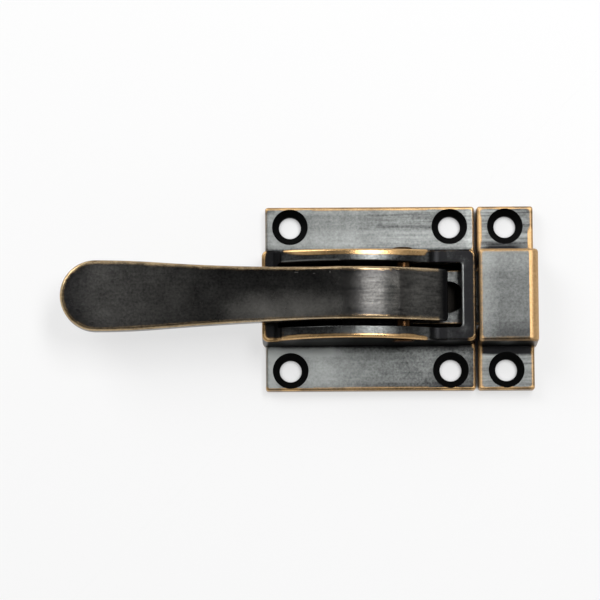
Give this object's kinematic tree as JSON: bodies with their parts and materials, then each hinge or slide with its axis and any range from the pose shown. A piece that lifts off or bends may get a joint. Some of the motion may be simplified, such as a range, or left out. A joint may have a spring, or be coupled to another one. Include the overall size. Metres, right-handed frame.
{
  "type": "cupboard latch",
  "caption": "Surface cupboard latch: a cast case with a pivoting paddle lever that draws back a spring bolt, and a separate strike that catches the bolt.",
  "frame": {"origin": "middle of the case plate on its back face, at the centre of the four screw holes", "axes": "+X from the lever's paddle to the strike, +Y across the plate, +Z out of the door"},
  "size_m": [0.0861, 0.0336, 0.0132],
  "materials": {
    "case_brass": "cast brass under a dark patina, rubbed back to gold along the edges",
    "lever_brass": "cast brass under a near-black patina, brushed along its length, gold along the edges",
    "bolt_brass": "milled brass under a worn grey patina",
    "pin_brass": "drawn brass under a dark patina, peened ends",
    "cover_brass": "rolled brass sheet under a dark patina",
    "spring_steel": "drawn spring wire"
  },
  "bodies": {
    "case": {"latch_case": "case_brass", "back_cover": "cover_brass", "cover_rivets": "cover_brass", "pivot_pin": "pin_brass", "bolt_spring": "spring_steel", "strike": "case_brass"},
    "lever": {"lever_handle": "lever_brass"},
    "bolt": {"latch_bolt": "bolt_brass"}
  },
  "joints": [
    {"name": "lever_pivot", "type": "hinge", "parent": "case", "child": "lever", "pos_m": [0.0058, 0, 0.0078], "axis": [0, 1, 0], "range_deg": [0, 20], "stiffness_Nm_per_rad": 0.02, "springref_deg": -17.19},
    {"name": "bolt_slide", "type": "slide", "parent": "case", "child": "bolt", "axis": [1, 0, 0], "range_m": [-0.002, 0], "deforming": ["bolt_spring"]}
  ],
  "couplings": [
    {"joint": "bolt_slide", "follows": "lever_pivot", "m_per_rad": -0.00572}
  ]
}
